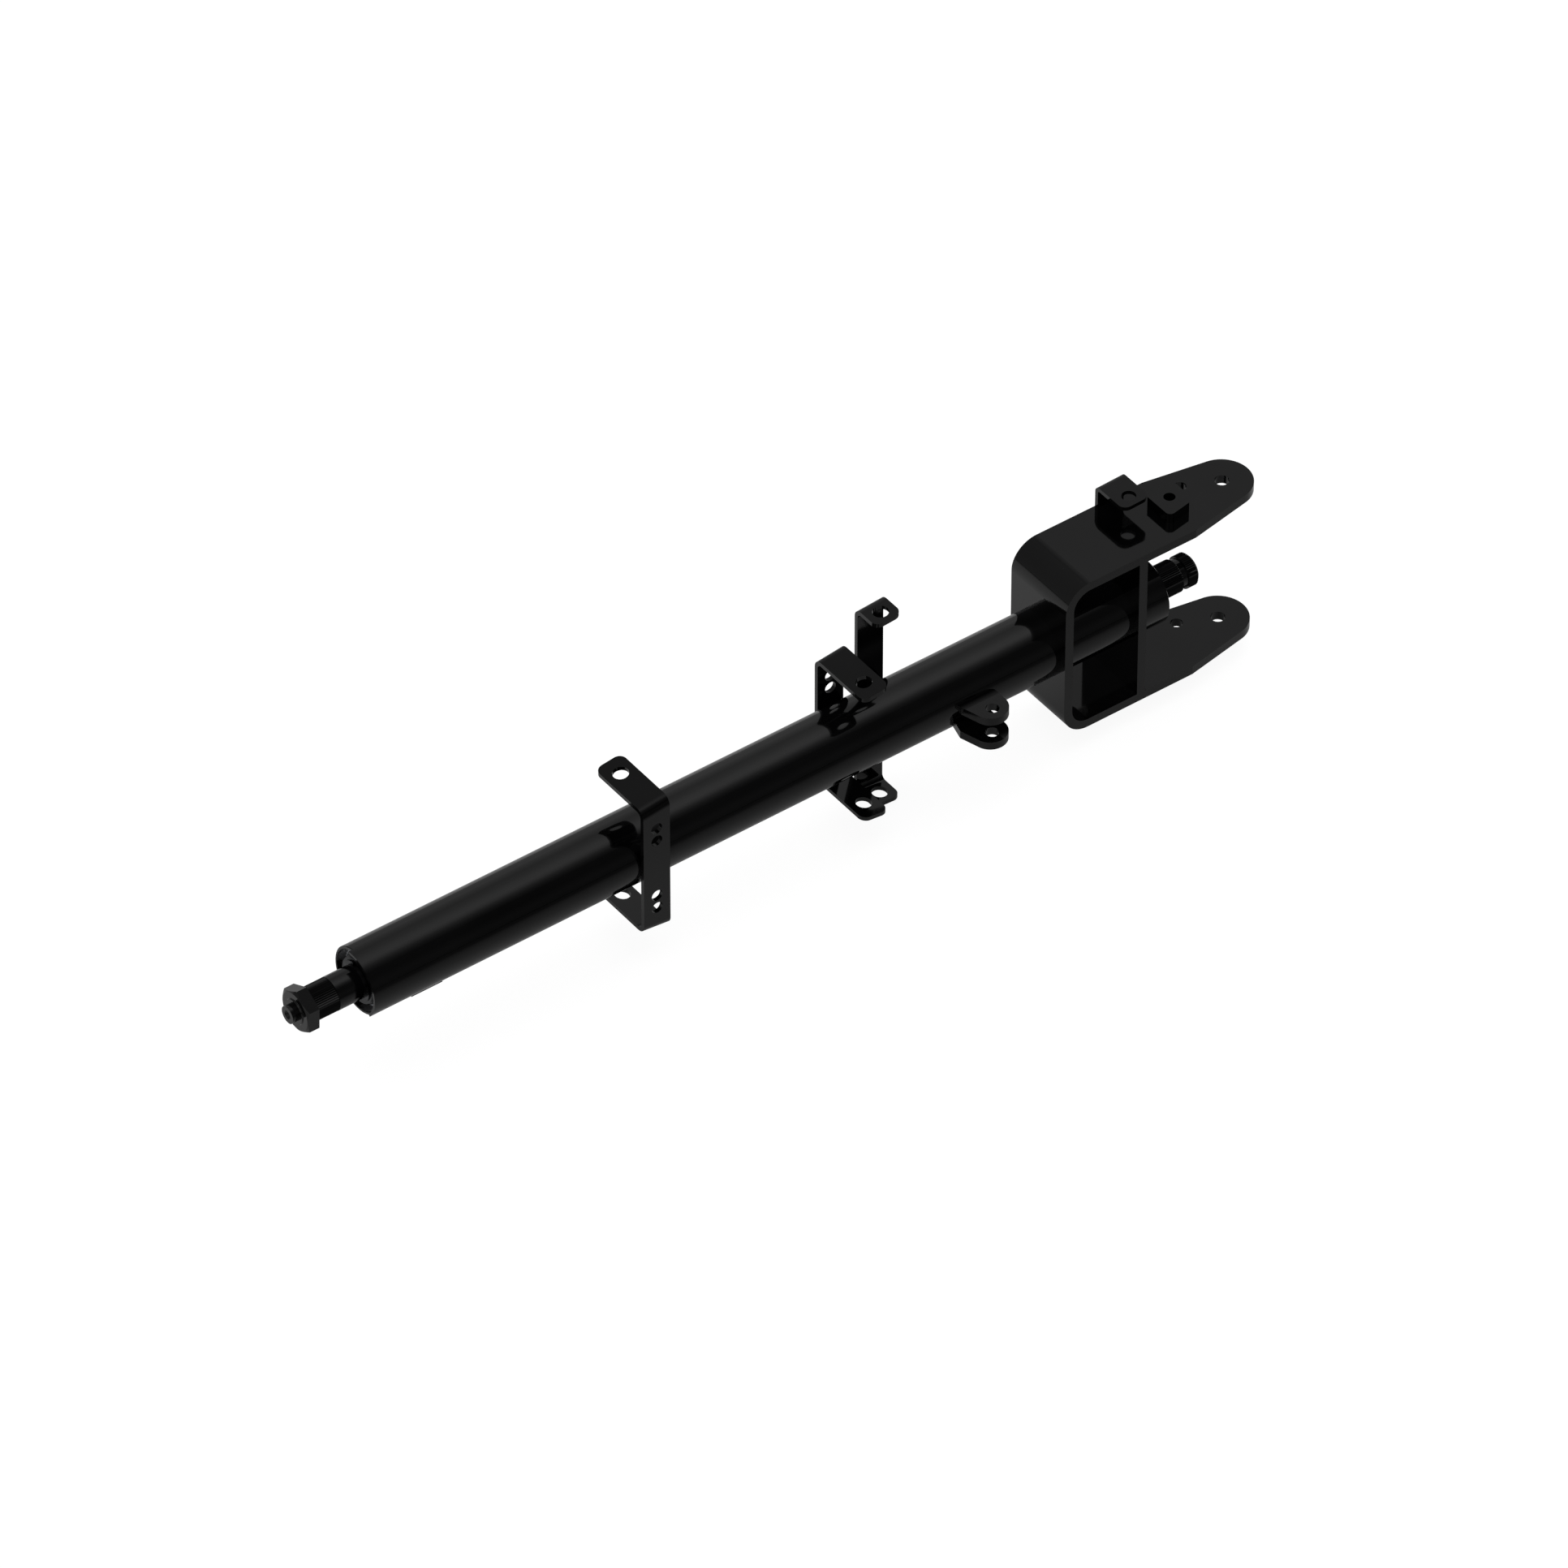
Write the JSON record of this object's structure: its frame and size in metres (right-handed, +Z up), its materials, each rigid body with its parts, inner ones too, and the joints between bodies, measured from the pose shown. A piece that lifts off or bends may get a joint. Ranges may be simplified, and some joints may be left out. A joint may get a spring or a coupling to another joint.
{
  "type": "steering column",
  "caption": "Steering column: a tube with a splined shaft turning on ball bearings, a pivot fork at the lower end, flanged shroud straps and a clevis lug for tilt adjustment.",
  "frame": {"origin": "on the fork pivot axis where it crosses the column axis", "axes": "+X along the column towards its lower end, the wheel end at -X; +Z up along the pivot axis; +Y away from the clevis lug"},
  "size_m": [0.8077, 0.0803, 0.1702],
  "materials": {
    "gloss_black": "gloss black paint",
    "dark_steel": "dark oxide",
    "bearing_steel": "ground",
    "black_shaft": "gloss black",
    "black_nut": "gloss black",
    "brass_cage": "satin"
  },
  "bodies": {
    "column": {"jacket_tube": "gloss_black", "lock_pad": "gloss_black", "fork_bracket": "gloss_black", "brace_plate": "gloss_black", "front_strap": "gloss_black", "rear_strap": "gloss_black", "tall_strap": "gloss_black", "upper_lug": "gloss_black", "lower_lug": "gloss_black", "corner_bracket": "gloss_black", "tapped_block": "gloss_black", "weld_beads": "gloss_black", "stop_rings": "dark_steel", "upper_outer_ring": "bearing_steel", "lower_outer_ring": "bearing_steel", "upper_shields": "bearing_steel", "lower_shields": "bearing_steel"},
    "shaft": {"steering_shaft": "black_shaft", "wheel_nut": "black_nut", "upper_inner_ring": "bearing_steel", "lower_inner_ring": "bearing_steel", "shaft_collar": "dark_steel", "shaft_circlips": "dark_steel", "preload_spring": "dark_steel"},
    "upper_ball_set": {"upper_balls": "bearing_steel", "upper_cage": "brass_cage"},
    "lower_ball_set": {"lower_balls": "bearing_steel", "lower_cage": "brass_cage"}
  },
  "joints": [
    {"name": "shaft_spin", "type": "hinge", "parent": "column", "child": "shaft", "pos_m": [0, 0, 0], "axis": [1, 0, 0], "continuous": true},
    {"name": "upper_cage_spin", "type": "hinge", "parent": "column", "child": "upper_ball_set", "pos_m": [-0.718, 0, 0], "axis": [1, 0, 0], "continuous": true},
    {"name": "lower_cage_spin", "type": "hinge", "parent": "column", "child": "lower_ball_set", "pos_m": [-0.074, 0, 0], "axis": [1, 0, 0], "continuous": true}
  ],
  "couplings": [
    {"joint": "upper_cage_spin", "follows": "shaft_spin", "ratio": 0.4118},
    {"joint": "lower_cage_spin", "follows": "shaft_spin", "ratio": 0.4118}
  ]
}
